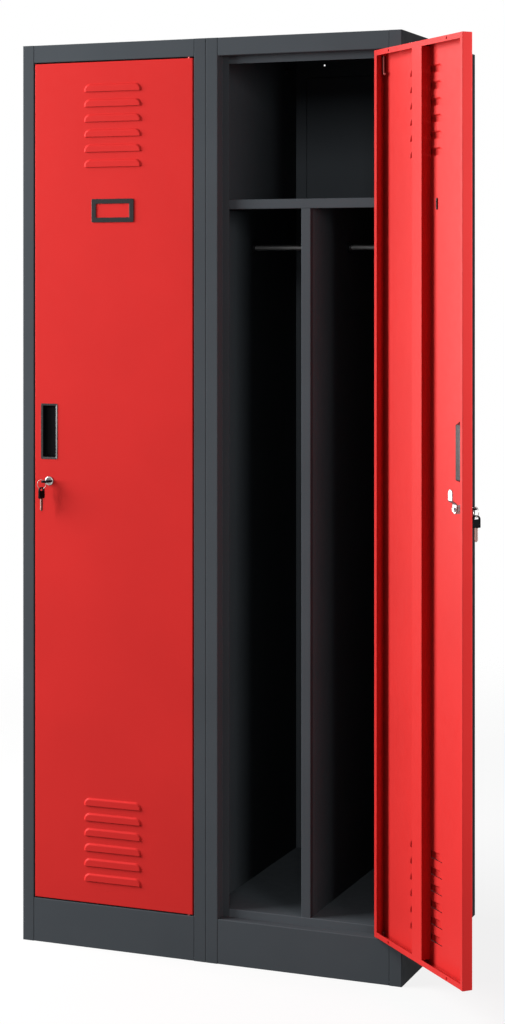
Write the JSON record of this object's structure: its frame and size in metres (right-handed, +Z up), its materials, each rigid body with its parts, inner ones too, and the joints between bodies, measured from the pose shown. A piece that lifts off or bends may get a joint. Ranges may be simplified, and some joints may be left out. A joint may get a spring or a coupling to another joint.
{
  "type": "clothing locker",
  "caption": "Tall sheet-steel clothing locker with side-by-side bays, louvred hinged doors, cam locks with keys, recessed pulls, shelf, partition and hanging rods.",
  "frame": {"origin": "on the floor under the seam between the two bays, midway between front and back", "axes": "+X to the right seen from the front, +Y from the doors to the back, +Z up"},
  "size_m": [1.0078, 0.7437, 1.8],
  "materials": {
    "carcass_paint": "anthracite powder coat, fine satin texture",
    "door_paint": "red powder coat, fine satin texture",
    "black_plastic": "black moulded plastic, satin",
    "bright_metal": "nickel plated, polished",
    "zinc_steel": "zinc plated steel, satin"
  },
  "bodies": {
    "carcass": {"foot_angles": "carcass_paint", "joining_bolts": "zinc_steel", "left_back_panel": "carcass_paint", "left_floor_panel": "carcass_paint", "left_hanging_rods": "zinc_steel", "left_partition": "carcass_paint", "left_partition_edge": "carcass_paint", "left_plinth": "carcass_paint", "left_rod_sockets": "black_plastic", "left_shelf": "carcass_paint", "left_top_panel": "carcass_paint", "middle_left_side_panel": "carcass_paint", "middle_right_side_panel": "carcass_paint", "outer_left_side_panel": "carcass_paint", "outer_right_side_panel": "carcass_paint", "right_back_panel": "carcass_paint", "right_floor_panel": "carcass_paint", "right_hanging_rods": "zinc_steel", "right_partition": "carcass_paint", "right_partition_edge": "carcass_paint", "right_plinth": "carcass_paint", "right_rod_sockets": "black_plastic", "right_shelf": "carcass_paint", "right_top_panel": "carcass_paint"},
    "left_door": {"left_door_skin": "door_paint", "left_door_stiffener": "door_paint", "left_card_frame": "black_plastic", "left_handle_cup": "black_plastic", "left_lock_housing": "bright_metal", "left_lock_nut": "zinc_steel", "left_bottom_hinge_pin": "zinc_steel", "left_pin_guide": "door_paint"},
    "left_top_pin": {"left_top_hinge_pin": "zinc_steel"},
    "left_lock_core": {"left_lock_rotor": "bright_metal", "left_lock_cam": "zinc_steel", "left_cam_screw": "zinc_steel"},
    "left_key": {"left_key_blade": "zinc_steel", "left_key_head": "black_plastic"},
    "left_ring": {"left_key_ring": "bright_metal"},
    "left_spare_key": {"left_spare_key_blade": "zinc_steel", "left_spare_key_head": "black_plastic"},
    "right_door": {"right_door_skin": "door_paint", "right_door_stiffener": "door_paint", "right_card_frame": "black_plastic", "right_handle_cup": "black_plastic", "right_lock_housing": "bright_metal", "right_lock_nut": "zinc_steel", "right_bottom_hinge_pin": "zinc_steel", "right_pin_guide": "door_paint"},
    "right_top_pin": {"right_top_hinge_pin": "zinc_steel"},
    "right_lock_core": {"right_lock_rotor": "bright_metal", "right_lock_cam": "zinc_steel", "right_cam_screw": "zinc_steel"},
    "right_key": {"right_key_blade": "zinc_steel", "right_key_head": "black_plastic"},
    "right_ring": {"right_key_ring": "bright_metal"},
    "right_spare_key": {"right_spare_key_blade": "zinc_steel", "right_spare_key_head": "black_plastic"}
  },
  "joints": [
    {"name": "left_door_swing", "type": "hinge", "parent": "carcass", "child": "left_door", "pos_m": [-0.037, -0.2455, 0], "axis": [0, 0, 1], "range_deg": [0, 135]},
    {"name": "left_pin_draw", "type": "slide", "parent": "left_door", "child": "left_top_pin", "axis": [0, 0, 1], "range_m": [-0.014, 0]},
    {"name": "left_lock_turn", "type": "hinge", "parent": "left_door", "child": "left_lock_core", "pos_m": [-0.3405, -0.25, 0.926], "axis": [0, -1, 0], "range_deg": [0, 90]},
    {"name": "left_key_draw", "type": "slide", "parent": "left_lock_core", "child": "left_key", "axis": [0, -1, 0], "range_m": [0, 0.025]},
    {"name": "left_ring_hang", "type": "hinge", "parent": "left_key", "child": "left_ring", "pos_m": [-0.34735, -0.2708, 0.926], "axis": [0, -1, 0], "range_deg": [-90, 0]},
    {"name": "left_spare_swing", "type": "hinge", "parent": "left_ring", "child": "left_spare_key", "pos_m": [-0.34735, -0.2708, 0.911], "axis": [1, 0, 0], "range_deg": [-25, 15]},
    {"name": "right_door_swing", "type": "hinge", "parent": "carcass", "child": "right_door", "pos_m": [0.363, -0.2455, 0], "axis": [0, 0, 1], "range_deg": [-135, 0]},
    {"name": "right_pin_draw", "type": "slide", "parent": "right_door", "child": "right_top_pin", "axis": [0, 0, 1], "range_m": [-0.014, 0]},
    {"name": "right_lock_turn", "type": "hinge", "parent": "right_door", "child": "right_lock_core", "pos_m": [0.58079, -0.45692, 0.926], "axis": [0.7071, 0.7071, 0], "range_deg": [0, 90]},
    {"name": "right_key_draw", "type": "slide", "parent": "right_lock_core", "child": "right_key", "axis": [0.7071, 0.7071, 0], "range_m": [0, 0.025]},
    {"name": "right_ring_hang", "type": "hinge", "parent": "right_key", "child": "right_ring", "pos_m": [0.60034, -0.44706, 0.926], "axis": [0.7071, 0.7071, 0], "range_deg": [-90, 0]},
    {"name": "right_spare_swing", "type": "hinge", "parent": "right_ring", "child": "right_spare_key", "pos_m": [0.60034, -0.44706, 0.911], "axis": [-0.7071, 0.7071, 0], "range_deg": [-25, 15]}
  ],
  "couplings": [
    {"joint": "left_ring_hang", "follows": "left_lock_turn", "ratio": -1},
    {"joint": "right_ring_hang", "follows": "right_lock_turn", "ratio": -1}
  ]
}
